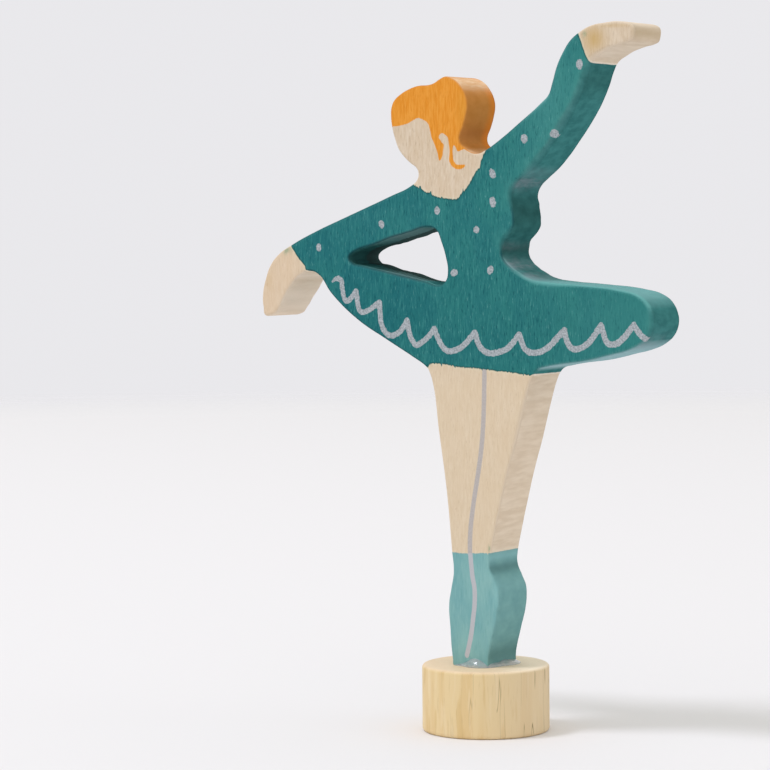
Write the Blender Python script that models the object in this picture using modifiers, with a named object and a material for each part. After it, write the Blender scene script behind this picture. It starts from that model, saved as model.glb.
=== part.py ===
"""Ballerina figurine: a flat dancer sawn from one board, glued upright on a small turned foot.

The dancer's board stands in the XZ plane with its painted front towards -Y. The foot is a disc
round the Z axis, and the origin is the middle of its underside. Run it in Blender 4.5, from the
text editor or with --background --python. Lengths are in metres.
"""

import math

import bmesh
import bpy

# The turned foot
BASE_DIAMETER = 0.0200
BASE_HEIGHT = 0.0105
BASE_EDGE_RADIUS = 0.0005

# The sawn dancer
FIGURE_HEIGHT = 0.0989
BOARD_THICKNESS = 0.0085
BOARD_EDGE_RADIUS = 0.0005

# The line of clear glue round the boots
SEAT_GAP = 0.0003
GLUE_WIDTH = 0.0012
GLUE_HEIGHT = 0.0009
GLUE_EDGE_RADIUS = 0.0003
GLUE_CORNER_RADIUS = 0.0010

# How finely curves are drawn
OUTLINE_STEPS = 4
EDGE_STEPS = 1
BASE_EDGE_STEPS = 3
BASE_SIDES = 72
CORNER_STEPS = 5
WELD_DISTANCE = 0.00001
TRIM_SHARE = 0.1

# The dancer's outline, clockwise from the boots, as (across, up) in hundredths of her height:
# across from the foot's axis, up from the soles. It is smooth at every point but the corners.
# It runs a little below the soles, where the board is then trimmed flat.
TRIMMED_END = [(3.0, 0.0), (2.6, -2.2), (-0.2, -3.6), (-3.0, -2.2), (-3.4, 0.0)]
INSTEP_LEFT = (-3.7, 1.6)
INSTEP_RIGHT = (3.2, 1.6)
HEM_LEFT = (-7.8, 46.6)
HEM_RIGHT = (11.4, 45.8)

LEFT_LEG = [
    INSTEP_LEFT, (-4.0, 5.5), (-4.2, 9.4), (-3.7, 12.2), (-3.3, 14.4),
    (-3.6, 18.0), (-4.5, 27.3), (-5.9, 36.9), (-7.1, 44.9), HEM_LEFT,
]
SKIRT_LEFT = [
    (-8.5, 47.2), (-10.4, 48.3), (-15.6, 51.1), (-21.3, 54.3), (-26.4, 58.5), (-29.0, 61.6),
    (-30.7, 62.1), (-32.5, 61.5),
]
LEFT_HAND = [
    (-33.9, 60.4), (-35.8, 57.9), (-37.1, 55.6), (-38.0, 55.0), (-39.4, 55.0), (-40.0, 56.1),
    (-40.1, 58.4), (-39.5, 60.8), (-38.4, 63.2), (-36.6, 65.0),
]
LEFT_ARM = [
    (-34.1, 66.4), (-30.4, 68.1), (-22.6, 71.1), (-14.9, 74.0), (-10.7, 75.7),
]
NECK_LEFT = [
    (-9.7, 76.5), (-9.4, 77.4), (-9.7, 78.3), (-10.8, 79.1),
]
FACE = [
    (-12.0, 80.1), (-13.1, 81.4), (-13.8, 83.0), (-14.4, 85.1), (-14.6, 86.8), (-14.5, 88.1),
]
HAIR = [
    (-14.0, 89.2), (-12.8, 90.2), (-11.2, 91.0), (-9.4, 91.5), (-7.3, 91.6), (-6.3, 91.9),
    (-5.4, 92.4), (-4.3, 92.8),
]
BUN = [
    (-3.2, 92.6), (-2.2, 92.1), (-1.1, 91.0), (-0.3, 89.6), (0.0, 88.1), (-0.3, 86.4),
    (-0.9, 84.6), (-1.5, 83.2), (-1.4, 82.3), (-0.7, 81.6), (0.4, 80.8), (1.7, 80.5),
]
RIGHT_ARM_TOP = [
    (2.9, 80.9), (5.8, 82.6), (9.3, 85.1), (13.0, 88.0), (14.5, 89.4), (15.1, 91.0),
    (16.0, 93.7), (17.3, 96.0), (18.5, 97.5),
]
RIGHT_HAND = [
    (20.0, 98.6), (21.9, 99.5), (24.4, 99.9), (27.0, 100.0), (28.8, 99.6), (29.6, 98.8),
    (29.6, 97.8), (29.0, 96.9), (27.2, 96.4), (25.4, 95.9), (23.7, 95.1), (22.4, 94.3),
]
RIGHT_ARM_UNDER = [
    (21.7, 93.3), (20.7, 90.7), (19.1, 87.5), (17.3, 84.8), (15.3, 82.2), (13.3, 79.8),
    (11.5, 78.0), (9.7, 76.6),
]
WAIST = [
    (8.2, 75.2), (7.7, 74.0), (7.9, 72.5), (8.2, 70.7), (8.1, 69.0), (7.3, 67.8),
    (6.4, 66.9), (6.0, 65.5), (6.1, 64.4), (6.8, 63.4),
]
SKIRT_RIGHT = [
    (9.3, 61.7), (11.2, 60.9), (14.0, 60.5), (20.0, 60.1), (27.1, 59.4), (30.4, 58.5),
    (31.8, 57.4), (32.7, 55.7), (32.8, 54.0), (32.1, 52.4), (30.8, 51.2), (28.6, 50.2),
    (25.4, 49.4), (21.1, 48.4), (16.8, 47.8), (14.0, 47.3), (12.3, 46.8), HEM_RIGHT,
]
RIGHT_LEG = [
    (10.9, 44.6), (10.0, 41.7), (8.2, 35.2), (6.9, 31.0), (5.5, 25.7), (4.1, 19.9), (3.6, 17.5),
    (3.5, 15.8), (4.4, 13.6), (5.1, 12.0), (5.2, 10.4), (5.0, 8.6), (4.0, 4.8), INSTEP_RIGHT,
]
OUTLINE = (
    LEFT_LEG + SKIRT_LEFT + LEFT_HAND + LEFT_ARM + NECK_LEFT + FACE + HAIR + BUN + RIGHT_ARM_TOP
    + RIGHT_HAND + RIGHT_ARM_UNDER + WAIST + SKIRT_RIGHT + RIGHT_LEG + TRIMMED_END
)
CORNERS = [HEM_LEFT, HEM_RIGHT]

# The sawn opening between the lowered arm, the bodice and the skirt
ARM_OPENING = [
    (-23.1, 64.2), (-22.2, 65.1), (-17.4, 66.7), (-11.2, 68.3), (-7.2, 69.1), (-6.1, 68.6),
    (-5.2, 66.8), (-4.3, 64.1), (-4.0, 62.1), (-4.4, 60.6), (-5.5, 59.9), (-8.3, 60.5),
    (-14.4, 61.8), (-20.5, 63.0), (-22.5, 63.5),
]

# Colour, roughness and metallic value of each part
STAINED_BOARD = ((0.030, 0.150, 0.155, 1.0), 0.62, 0.0)
TURNED_WOOD = ((0.760, 0.600, 0.400, 1.0), 0.60, 0.0)
CLEAR_GLUE = ((0.800, 0.790, 0.760, 1.0), 0.10, 0.0)


def clear_scene():
    for old in list(bpy.data.objects):
        bpy.data.objects.remove(old, do_unlink=True)


def make_collection(name):
    collection = bpy.data.collections.new(name)
    bpy.context.scene.collection.children.link(collection)
    return collection


def make_material(name, finish):
    colour, roughness, metallic = finish
    material = bpy.data.materials.new(name)
    material.use_nodes = True
    shader = material.node_tree.nodes["Principled BSDF"]
    shader.inputs["Base Color"].default_value = colour
    shader.inputs["Roughness"].default_value = roughness
    shader.inputs["Metallic"].default_value = metallic
    return material


def flat_curve(name, thickness, edge_radius, edge_steps):
    """A filled 2D curve as thick as asked, with its rims rounded inside its outline."""
    curve = bpy.data.curves.new(name, "CURVE")
    curve.dimensions = "2D"
    curve.fill_mode = "BOTH"
    curve.extrude = thickness / 2 - edge_radius
    curve.bevel_depth = edge_radius
    curve.bevel_resolution = edge_steps
    curve.offset = -edge_radius
    return curve


def add_smooth_outline(curve, shares, corners, height):
    """A closed Bezier spline through shares of the height, smooth but for the corners."""
    spline = curve.splines.new("BEZIER")
    spline.bezier_points.add(len(shares) - 1)
    spline.use_cyclic_u = True
    spline.resolution_u = OUTLINE_STEPS
    for point, (across, up) in zip(spline.bezier_points, shares):
        handle = "VECTOR" if (across, up) in corners else "AUTO"
        point.co = (across / 100 * height, up / 100 * height, 0.0)
        point.handle_left_type = handle
        point.handle_right_type = handle


def rounded_rectangle(left, right, near, far, radius):
    """Points round a rectangle with round corners."""
    centres = [
        (right - radius, far - radius), (left + radius, far - radius),
        (left + radius, near + radius), (right - radius, near + radius),
    ]
    points = []
    for quarter, (centre_x, centre_y) in enumerate(centres):
        for step in range(CORNER_STEPS + 1):
            angle = math.radians(90) * (quarter + step / CORNER_STEPS)
            points.append((centre_x + radius * math.cos(angle), centre_y + radius * math.sin(angle)))
    return points


def add_straight_outline(curve, points):
    spline = curve.splines.new("POLY")
    spline.points.add(len(points) - 1)
    spline.use_cyclic_u = True
    for point, (x, y) in zip(spline.points, points):
        point.co = (x, y, 0.0, 1.0)


def place(name, data, material, collection, location=(0.0, 0.0, 0.0), rotation=(0.0, 0.0, 0.0)):
    data.materials.append(material)
    piece = bpy.data.objects.new(name, data)
    piece.location = location
    piece.rotation_euler = rotation
    collection.objects.link(piece)
    return piece


def build_base(collection):
    """The turned foot: a disc with its top and bottom edges eased."""
    radius = BASE_DIAMETER / 2
    easing = []
    for step in range(BASE_EDGE_STEPS + 1):
        angle = math.radians(90) * step / BASE_EDGE_STEPS
        easing.append((BASE_EDGE_RADIUS * math.sin(angle), BASE_EDGE_RADIUS * math.cos(angle)))
    inner = radius - BASE_EDGE_RADIUS
    top = BASE_HEIGHT - BASE_EDGE_RADIUS
    profile = [(0.0, 0.0, BASE_HEIGHT)]
    profile += [(inner + out, 0.0, top + up) for out, up in easing]
    profile += [(inner + out, 0.0, BASE_EDGE_RADIUS - up) for out, up in reversed(easing)]
    profile.append((0.0, 0.0, 0.0))
    mesh = bpy.data.meshes.new("base")
    mesh.from_pydata(profile, [(i, i + 1) for i in range(len(profile) - 1)], [])
    base = place("base", mesh, make_material("turned_wood", TURNED_WOOD), collection)
    turn = base.modifiers.new("turn", "SCREW")
    turn.axis = "Z"
    turn.steps = BASE_SIDES
    turn.render_steps = BASE_SIDES
    turn.use_merge_vertices = True
    turn.merge_threshold = WELD_DISTANCE


def mesh_from_curve(curve, name):
    """The curve's closed surface as a mesh, with its caps welded on."""
    sawn = bpy.data.objects.new("outline", curve)
    bpy.context.scene.collection.objects.link(sawn)
    evaluated = sawn.evaluated_get(bpy.context.evaluated_depsgraph_get())
    mesh = bpy.data.meshes.new_from_object(evaluated)
    mesh.name = name
    bpy.data.objects.remove(sawn, do_unlink=True)
    surface = bmesh.new()
    surface.from_mesh(mesh)
    bmesh.ops.remove_doubles(surface, verts=surface.verts, dist=WELD_DISTANCE)
    surface.to_mesh(mesh)
    surface.free()
    return mesh


def add_block(name, size, location, collection):
    """A hidden block that other pieces are cut with."""
    bpy.ops.mesh.primitive_cube_add(size=1.0, location=location)
    block = bpy.context.object
    block.name = name
    block.scale = size
    block.hide_render = True
    block.display_type = "WIRE"
    for owner in list(block.users_collection):
        owner.objects.unlink(block)
    collection.objects.link(block)
    return block


def build_figure(collection, cutters):
    """The dancer: one board sawn to her outline, open under the lowered arm, trimmed at the soles."""
    curve = flat_curve("figure_outline", BOARD_THICKNESS, BOARD_EDGE_RADIUS, EDGE_STEPS)
    add_smooth_outline(curve, OUTLINE, CORNERS, FIGURE_HEIGHT)
    add_smooth_outline(curve, ARM_OPENING, [], FIGURE_HEIGHT)
    soles = BASE_HEIGHT + SEAT_GAP
    standing = (math.radians(90), 0.0, 0.0)
    material = make_material("stained_board", STAINED_BOARD)
    mesh = mesh_from_curve(curve, "figure")
    figure = place("figure", mesh, material, collection, (0.0, 0.0, soles), standing)
    depth = FIGURE_HEIGHT * TRIM_SHARE
    size = (depth, 2 * BOARD_THICKNESS, depth)
    block = add_block("sole_trim", size, (0.0, 0.0, soles - depth / 2), cutters)
    trim = figure.modifiers.new("trim", "BOOLEAN")
    trim.operation = "DIFFERENCE"
    trim.object = block


def build_glue_bead(collection):
    """The low ring of clear glue that squeezed out round the boots."""
    hundredth = FIGURE_HEIGHT / 100
    left = INSTEP_LEFT[0] * hundredth - SEAT_GAP
    right = INSTEP_RIGHT[0] * hundredth + SEAT_GAP
    half_depth = BOARD_THICKNESS / 2 + SEAT_GAP
    inner = rounded_rectangle(left, right, -half_depth, half_depth, GLUE_CORNER_RADIUS / 2)
    outer = rounded_rectangle(
        left - GLUE_WIDTH, right + GLUE_WIDTH, -half_depth - GLUE_WIDTH, half_depth + GLUE_WIDTH,
        GLUE_CORNER_RADIUS + GLUE_WIDTH,
    )
    curve = flat_curve("glue_bead", GLUE_HEIGHT, GLUE_EDGE_RADIUS, EDGE_STEPS)
    add_straight_outline(curve, outer)
    add_straight_outline(curve, inner)
    middle = BASE_HEIGHT + SEAT_GAP + GLUE_HEIGHT / 2
    place("glue_bead", curve, make_material("clear_glue", CLEAR_GLUE), collection, (0.0, 0.0, middle))


def main():
    clear_scene()
    collection = make_collection("ballerina_figurine")
    cutters = make_collection("cutters")
    build_base(collection)
    build_figure(collection, cutters)
    build_glue_bead(collection)


main()
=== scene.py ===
"""Ballerina figurine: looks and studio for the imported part.

The dancer is a fine mesh sawn to the outline that the frame's own board has, with its paint as
distances to painted lines. The foot and the glue are finer meshes in the places of their nodes.
Lengths are in metres unless a comment says otherwise, and the painted front faces -Y.
"""

import math
from types import SimpleNamespace

import bpy
import numpy as np
from mathutils import Matrix, Vector
from mathutils.geometry import delaunay_2d_cdt

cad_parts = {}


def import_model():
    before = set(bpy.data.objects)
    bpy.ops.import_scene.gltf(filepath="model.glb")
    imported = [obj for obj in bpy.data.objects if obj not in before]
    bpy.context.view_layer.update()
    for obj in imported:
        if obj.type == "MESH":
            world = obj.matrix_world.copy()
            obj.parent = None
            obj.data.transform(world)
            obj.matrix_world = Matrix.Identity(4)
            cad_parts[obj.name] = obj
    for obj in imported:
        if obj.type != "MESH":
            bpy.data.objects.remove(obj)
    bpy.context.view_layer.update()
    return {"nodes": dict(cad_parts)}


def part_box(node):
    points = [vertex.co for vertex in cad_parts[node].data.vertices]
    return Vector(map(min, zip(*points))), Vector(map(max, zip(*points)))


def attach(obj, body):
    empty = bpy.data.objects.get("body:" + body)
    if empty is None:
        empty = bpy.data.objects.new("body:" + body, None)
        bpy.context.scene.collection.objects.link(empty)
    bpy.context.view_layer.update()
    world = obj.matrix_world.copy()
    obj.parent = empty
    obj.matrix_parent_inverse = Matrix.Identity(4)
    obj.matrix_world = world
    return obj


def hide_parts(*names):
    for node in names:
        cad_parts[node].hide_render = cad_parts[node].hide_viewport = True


MM = 0.001

# Sizes
FIGURE_HEIGHT = 0.0989
SOLES = 0.0108
HALF_BOARD = 0.00425
# The board's outline is read from the frame's points this far in front of its middle
RIM_PLANE = 0.00375

# How closely the dancer is meshed, in mm: the outline, the walls and the two faces, which have
# FINE_SHARE times as many rows as far as PAINT_BAND from a paint edge
OUTLINE_SPACING = 0.30
WALL_SPACING = 0.42
COARSE_FRONT = 0.51
COARSE_BACK = 0.84
FINE_SHARE = 3
PAINT_BAND = 0.42
# Rows of points follow the rim at these depths in mm
RIM_ROWS = [0.04, 0.11, 0.21, 0.33, 0.50, 0.74, 1.05]

# The foot's eased edge in mm, and its sides
FOOT_EASE = 0.55
FOOT_SIDES = 160
# The soles' low and high x, half depth in mm, and how square their outline is
SOLES_BOX = (-3.7, 3.25, 4.25)
SOLES_POWER = 5.0
# How far the glue reaches in under the soles, in mm, and how finely it is meshed
GLUE_INSIDE = 0.30
GLUE_STEPS = 200
GLUE_ROWS = 14
# Where the glue bulges: direction in degrees, reach in radians, how square, extra width and height in mm
GLUE_BULGES = [(282, 0.46, 2.4, 0.95, 1.15), (24, 0.55, 2.0, 1.45, 0.40), (336, 0.60, 4.0, 0.30, 0.25)]

UP = Vector((0.0, 0.0, 1.0))
LIGHT_DISTANCE = 2.50

# Camera: focal length in pixels of a picture PICTURE pixels wide, and turns in degrees
FOCAL_PIXELS = 2970.5
PICTURE = 770
SENSOR = 36.0
CAMERA_PLACE = (0.24602, -0.39436, 0.07953)
CAMERA_TURN = 33.867
CAMERA_PITCH = 3.087
CAMERA_ROLL = -0.477

# Painted lines, as (across, up) in hundredths of the dancer's height
NECKLINE = [
    (-12.4, 76.2), (-10.1, 75.8), (-9.0, 75.2), (-7.7, 74.6), (-6.5, 74.1), (-5.2, 73.7),
    (-4.1, 73.5), (-3.0, 73.4), (-2.1, 73.4), (-1.3, 74.2), (-0.4, 75.1), (0.6, 76.4),
    (1.3, 77.5), (2.1, 78.4), (2.5, 79.5), (3.1, 80.7), (3.4, 82.0),
]
HEAD_AROUND = [(6.0, 90.0), (0.0, 99.0), (-20.0, 97.0), (-20.0, 78.0)]
HAIRLINE = [
    (-18.0, 85.1), (-14.1, 85.1), (-12.7, 85.2), (-11.2, 85.5), (-10.4, 85.9), (-9.4, 86.3),
    (-8.5, 86.1), (-7.6, 85.6), (-7.2, 85.0), (-7.0, 84.2), (-6.8, 83.3), (-6.3, 82.3),
    (-5.8, 81.2), (-5.6, 80.3), (-5.3, 79.5), (-4.8, 80.1), (-4.6, 81.2), (-4.5, 82.0),
    (-4.8, 82.4), (-5.1, 82.8), (-5.4, 83.1), (-5.2, 83.6), (-4.7, 83.8), (-4.0, 83.4),
    (-3.7, 83.0), (-3.5, 81.9), (-3.4, 80.8), (-3.5, 79.6), (-3.2, 78.9), (-2.8, 78.5),
    (-2.0, 78.1), (-1.1, 78.2), (-0.6, 78.5), (-0.6, 78.8), (-1.5, 78.8), (-2.2, 78.9),
    (-2.7, 79.6), (-2.8, 80.4), (-2.8, 81.3), (-2.6, 81.9), (-2.2, 81.4), (-1.9, 80.9),
    (-1.4, 81.0), (-0.8, 81.3), (-1.2, 82.0), (-1.6, 82.6), (-1.4, 83.4),
]
HAIR_AROUND = [(3.0, 84.0), (3.0, 97.0), (-18.0, 97.0)]
HAIR_WALL = [
    (-18.0, 85.6), (-9.0, 84.0), (-3.0, 82.0), (0.9, 79.6), (4.0, 84.0), (3.0, 97.0), (-18.0, 97.0),
]
HAIR_BACK = [
    (-18.0, 84.6), (-13.2, 82.9), (-11.5, 80.9), (-9.6, 79.4), (-7.2, 78.6), (-4.4, 78.4),
    (-1.6, 79.0), (0.9, 79.8), (4.0, 84.0), (3.0, 97.0), (-18.0, 97.0),
]
LEFT_CUFF = [
    (-34.8, 67.4), (-34.0, 65.8), (-33.0, 64.5), (-32.2, 63.6), (-31.5, 62.9), (-31.3, 62.3),
    (-30.7, 62.1), (-29.6, 62.0), (-28.6, 61.5),
]
# The bare wall of the lowered hand ends at the corner with the skirt
LEFT_WALL_END = -30.3
LEFT_HAND_AROUND = [(-27.6, 60.0), (-31.0, 52.0), (-46.0, 50.0), (-46.0, 70.0)]
RIGHT_CUFF = [
    (19.6, 99.6), (20.0, 98.4), (20.3, 97.7), (20.9, 96.1), (21.4, 94.9), (21.7, 94.2), (22.2, 93.6),
]
RIGHT_HAND_AROUND = [(30.0, 90.0), (40.0, 94.0), (40.0, 105.0), (18.0, 105.0)]
SKIRT_HEM = [
    (-12.0, 46.6), (-7.9, 46.7), (-7.3, 47.5), (-5.2, 47.5), (-1.9, 47.0), (0.8, 46.9),
    (3.3, 46.7), (5.7, 46.5), (8.2, 46.3), (10.1, 46.1), (11.4, 45.9), (14.0, 45.6),
]
LEGS_AROUND = [(16.0, -6.0), (-14.0, -6.0)]
BOOT_TOPS = [(-8.0, 17.7), (-3.4, 17.7), (-1.6, 17.6), (0.3, 17.7), (3.4, 17.9), (8.0, 17.9)]
BOOTS_AROUND = [(8.0, -6.0), (-8.0, -6.0)]

# The line down the leg, and its width in mm
LEG_LINE = [
    (2.8, 46.4), (2.7, 42.4), (2.5, 38.0), (2.1, 34.0), (1.4, 29.8), (0.6, 25.5), (0.0, 21.2),
    (-0.1, 18.0), (0.0, 17.1), (0.3, 14.2), (0.7, 12.1), (0.7, 9.8), (0.4, 7.4), (0.0, 4.7),
    (-0.6, 2.2), (-0.8, 1.5),
]
LEG_LINE_WIDTH = 0.80
# The scalloped hem line, one brush stroke from cusp to cusp, each from where the last one ends,
# and its width in mm
SCALLOPS = [
    [(-26.0, 60.4), (-25.5, 60.8), (-24.9, 60.9)],
    [(-24.3, 60.5), (-24.1, 59.2), (-23.8, 57.9), (-23.4, 57.3), (-22.6, 57.6), (-21.4, 58.9)],
    [(-21.2, 57.4), (-20.9, 56.0), (-20.2, 55.5), (-18.9, 55.9), (-16.9, 57.1)],
    [(-16.8, 55.5), (-16.6, 53.8), (-15.8, 52.3), (-14.6, 51.8), (-13.0, 52.5), (-11.6, 54.3)],
    [(-11.2, 52.2), (-10.6, 51.0), (-9.8, 50.4), (-7.9, 51.5), (-6.5, 53.0)],
    [(-5.7, 51.3), (-4.8, 50.0), (-3.8, 49.5), (-2.5, 49.7), (-1.1, 50.4), (1.1, 52.5)],
    [(1.8, 50.6), (2.8, 49.6), (4.2, 49.3), (5.8, 49.6), (7.3, 50.3), (9.2, 52.3)],
    [(10.0, 50.4), (10.8, 49.7), (11.7, 49.5), (13.3, 49.8), (14.8, 50.7), (17.3, 53.1)],
    [(17.8, 51.3), (18.5, 50.4), (19.5, 50.2), (20.9, 50.7), (22.1, 51.7), (23.8, 53.9)],
    [(24.5, 51.9), (25.0, 51.2), (25.7, 51.0), (26.8, 51.3), (28.0, 52.3), (29.5, 54.0)],
    [(30.6, 52.6), (31.7, 51.7)],
]
SCALLOP_WIDTH = 0.93
# Dots of silver paint: (across, up), then width and height in mm and a tilt in degrees
DOTS = [
    ((-28.7, 65.9), 1.00, 1.30, 5), ((-16.4, 69.6), 1.02, 1.26, 25), ((-5.8, 71.7), 0.96, 1.36, 0),
    ((1.5, 68.6), 1.10, 1.10, 0), ((4.5, 77.3), 1.10, 1.56, 25), ((4.5, 72.9), 1.12, 1.66, 10),
    ((-2.7, 61.9), 1.32, 1.08, 20), ((4.0, 62.3), 1.04, 1.40, -25), ((10.3, 82.6), 1.18, 1.42, 10),
    ((15.5, 83.3), 1.10, 1.32, -20), ((20.2, 93.7), 1.10, 1.56, 0),
]

# How far edges are rounded, in mm
SOFT_EDGES = [
    # (across, up), radius, reach along the outline in mm
    ((20.7, 90.7), 1.3, 9.0), ((17.3, 84.8), 1.4, 9.0), ((12.5, 79.0), 1.2, 7.0),
    ((8.2, 74.0), 0.9, 5.0), ((6.4, 66.9), 0.9, 4.0), ((14.0, 60.5), 0.8, 8.0),
    ((32.8, 54.0), 0.9, 6.0), ((29.6, 98.4), 0.6, 4.0), ((9.0, 39.0), 0.6, 8.0),
]
EDGE_RADIUS = 0.32
BACK_RADIUS = 0.24
SOLE_RADIUS = 0.10
# How far the frame's soles stand above the disc, and how far these reach down towards it, in mm
JOINT_GAP = 0.30
SOLE_DROP = 0.29

# Where the saw ran off the line: (across, up), push in mm, reach in mm, share at the front and at the back
SAW_SLIPS = [
    ((28.0, 56.0), (-0.13, -0.15), 20.0, 1.0, 1.0), ((-14.0, 61.6), (0.0, -0.24), 7.0, 0.2, 1.0),
    ((-39.5, 55.0), (-0.26, -0.22), 1.3, 1.0, 1.0), ((-35.3, 59.2), (0.34, 0.0), 2.6, 0.1, 1.0),
    ((-37.2, 56.0), (-0.28, 0.0), 1.4, 0.3, 1.0),
    ((29.2, 99.2), (0.22, 0.10), 1.6, 0.8, 1.0), ((29.6, 97.4), (0.06, -0.20), 1.2, 0.8, 1.0),
    ((-10.6, 60.8), (0.0, -0.42), 4.2, 0.0, 1.0), ((-17.4, 61.9), (0.0, -0.16), 3.0, 0.0, 1.0),
    ((-15.0, 67.2), (0.0, -0.16), 5.0, 0.0, 1.0), ((-22.9, 64.1), (0.45, 0.0), 1.5, 0.0, 1.0),
    ((-22.9, 64.1), (0.24, 0.0), 1.5, 1.0, 0.0), ((-19.0, 66.8), (0.0, -0.15), 4.0, 1.0, 0.2),
    ((4.4, 15.6), (-0.40, 0.0), 1.1, 1.0, 0.0), ((5.6, 12.6), (0.16, 0.0), 1.0, 1.0, 0.2),
    ((5.0, 8.6), (-0.18, 0.0), 1.2, 1.0, 0.0), ((7.8, 72.6), (0.10, 0.0), 0.6, 0.0, 1.0),
    ((9.0, 70.0), (0.12, 0.0), 0.7, 0.0, 1.0), ((8.2, 63.4), (0.12, 0.05), 0.7, 0.0, 1.0),
]
# Where it ran a little inside the line: (across, up), reach in mm, how far in mm
SAW_TRIMS = [((-6.0, 88.0), 12.0, 0.13), ((25.0, 100.0), 8.0, 0.06)]
# Small waves of the saw: length and size in mm
SAW_WAVES = [(4.7, 0.030), (2.9, 0.035), (1.9, 0.030), (1.3, 0.018)]
# Where they are strong: (across, up) and reach in mm
SHAKY_PLACES = [((8.0, 68.0), 7.0), ((-15.0, 67.0), 6.0)]
# How strong they are elsewhere, and at the front against the back
STEADY_SHARE = 0.18
FRONT_SHARE = 0.4

# Places where the colour differs: (across, up), reach across and up in mm, strength
# Paler on the sawn sides, mostly painted light: painted highlights where walls face up, on the bun's top and
# on the boots' knife facets, and painted bounce light where they face down
PALE_AND_LIT_ON_WALL = [
    ((9.1, 75.8), 2.4, 1.0, 0.60), ((11.6, 76.6), 1.6, 1.0, 0.35), ((6.6, 62.5), 1.5, 1.3, 0.95),
    ((9.4, 60.5), 2.4, 1.2, 0.95),
    ((6.2, 66.0), 1.2, 0.7, 0.22), ((-36.0, 57.5), 3.6, 3.6, 0.85), ((25.0, 95.4), 3.4, 1.2, 0.35),
    ((31.0, 50.5), 2.6, 1.8, 0.42), ((0.0, 92.0), 4.6, 1.2, 1.0), ((-1.6, 80.7), 2.6, 0.45, 0.8),
    ((-1.1, 86.2), 0.25, 0.35, 0.8), ((4.4, 17.2), 2.4, 0.7, 0.8), ((5.4, 13.2), 0.9, 1.1, 0.55),
    ((-33.2, 61.4), 1.7, 0.8, 0.9),
    ((27.5, 100.0), 3.0, 0.8, 0.8),
]
# Darker on the sawn sides: painted shade in the hollows of the waist and the opening, on walls turned from
# the light and low on the boots
DARK_AND_SHADED_ON_WALL = [
    ((-22.6, 64.2), 3.4, 2.4, 1.0), ((-19.0, 66.6), 2.6, 0.8, 0.7), ((-18.0, 62.4), 3.0, 0.8, 0.5),
    ((7.6, 71.0), 1.9, 3.4, 1.0), ((5.6, 65.4), 1.4, 1.9, 1.0), ((21.6, 91.0), 2.2, 2.6, 0.55),
    ((33.2, 54.5), 1.2, 1.8, 0.15),
    ((3.8, 15.3), 1.5, 0.8, 0.9), ((3.4, 1.6), 2.6, 1.6, 0.75), ((29.6, 98.2), 1.6, 1.1, 1.0),
    ((-1.4, 83.4), 2.0, 1.4, 0.5),
]
DARK_ON_FRONT = [
    ((-15.0, 55.0), 13.0, 8.0, 0.45), ((3.0, 51.0), 16.0, 6.5, 0.40), ((-1.0, 60.0), 9.0, 4.0, 0.25),
]
# Paler on the front; the narrow band on the boot is a painted highlight on a knife facet
PALE_ON_FRONT = [
    ((-17.0, 70.0), 9.0, 3.0, 0.14),
    ((15.5, 87.0), 6.0, 11.0, 0.75), ((4.6, 11.4), 0.45, 3.2, 0.8), ((9.0, 70.0), 2.0, 7.0, 0.25),
    ((26.0, 54.0), 9.0, 6.0, 0.25),
]
OCHRE_ON_FRONT = [
    ((22.8, 97.4), 1.7, 1.9, 1.0), ((29.8, 98.0), 0.35, 1.2, 1.0), ((-0.9, 87.6), 1.2, 3.0, 0.5),
    ((26.0, 99.3), 3.0, 0.3, 0.5), ((-38.8, 60.5), 0.8, 1.2, 0.3),
]
GREEN_ON_FRONT = [
    ((-35.2, 65.6), 0.9, 0.6, 0.8), ((21.1, 97.9), 0.22, 0.7, 0.8), ((3.5, 18.5), 0.18, 0.45, 1.0),
]
# The wall's paint under the hem stops this much higher than the front's, in mm
HEM_RISE = 0.30


def mm_points(shares):
    """Points in hundredths of the dancer's height as (x, z) in millimetres."""
    scale = FIGURE_HEIGHT / 100 / MM
    return np.array([(across * scale, SOLES / MM + up * scale) for across, up in shares])


# Plane geometry
def segment_distances(points, line, closed):
    """Distance from each point to a polyline, and how far along it the nearest place is."""
    ends = np.roll(line, -1, axis=0) if closed else line[1:]
    starts = line if closed else line[:-1]
    along = ends - starts
    lengths = np.maximum(np.hypot(along[:, 0], along[:, 1]), 1e-9)
    before = np.concatenate([[0.0], np.cumsum(lengths)[:-1]])
    best = np.full(len(points), 1e9)
    place = np.zeros(len(points))
    for first in range(0, len(points), 4000):
        block = points[first:first + 4000, None, :] - starts[None, :, :]
        share = np.clip((block * along).sum(2) / (lengths ** 2), 0.0, 1.0)
        away = block - share[:, :, None] * along
        distance = np.hypot(away[:, :, 0], away[:, :, 1])
        nearest = distance.argmin(1)
        rows = np.arange(len(nearest))
        best[first:first + 4000] = distance[rows, nearest]
        place[first:first + 4000] = before[nearest] + share[rows, nearest] * lengths[nearest]
    return best, place


def segment_lengths(loop):
    """The length of each side of a closed loop."""
    return np.hypot(*(np.roll(loop, -1, axis=0) - loop).T)


def inside(points, loop):
    """True for each point within a closed loop."""
    found = np.zeros(len(points), bool)
    following = np.roll(loop, -1, axis=0)
    for (x0, z0), (x1, z1) in zip(loop, following):
        if z0 == z1:
            continue
        crosses = (z0 > points[:, 1]) != (z1 > points[:, 1])
        at = x0 + (points[:, 1] - z0) * (x1 - x0) / (z1 - z0)
        found ^= crosses & (points[:, 0] < at)
    return found


def zone(points, loop):
    """Signed distance to a closed loop in mm, positive within it."""
    distance, _ = segment_distances(points, loop, True)
    return np.where(inside(points, loop), distance, -distance)


def nearness(points, place, reach):
    """How far points are from a place in hundredths of the height, as shares of a reach in mm."""
    return np.hypot(*(points - mm_points([place])[0]).T) / reach


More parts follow.
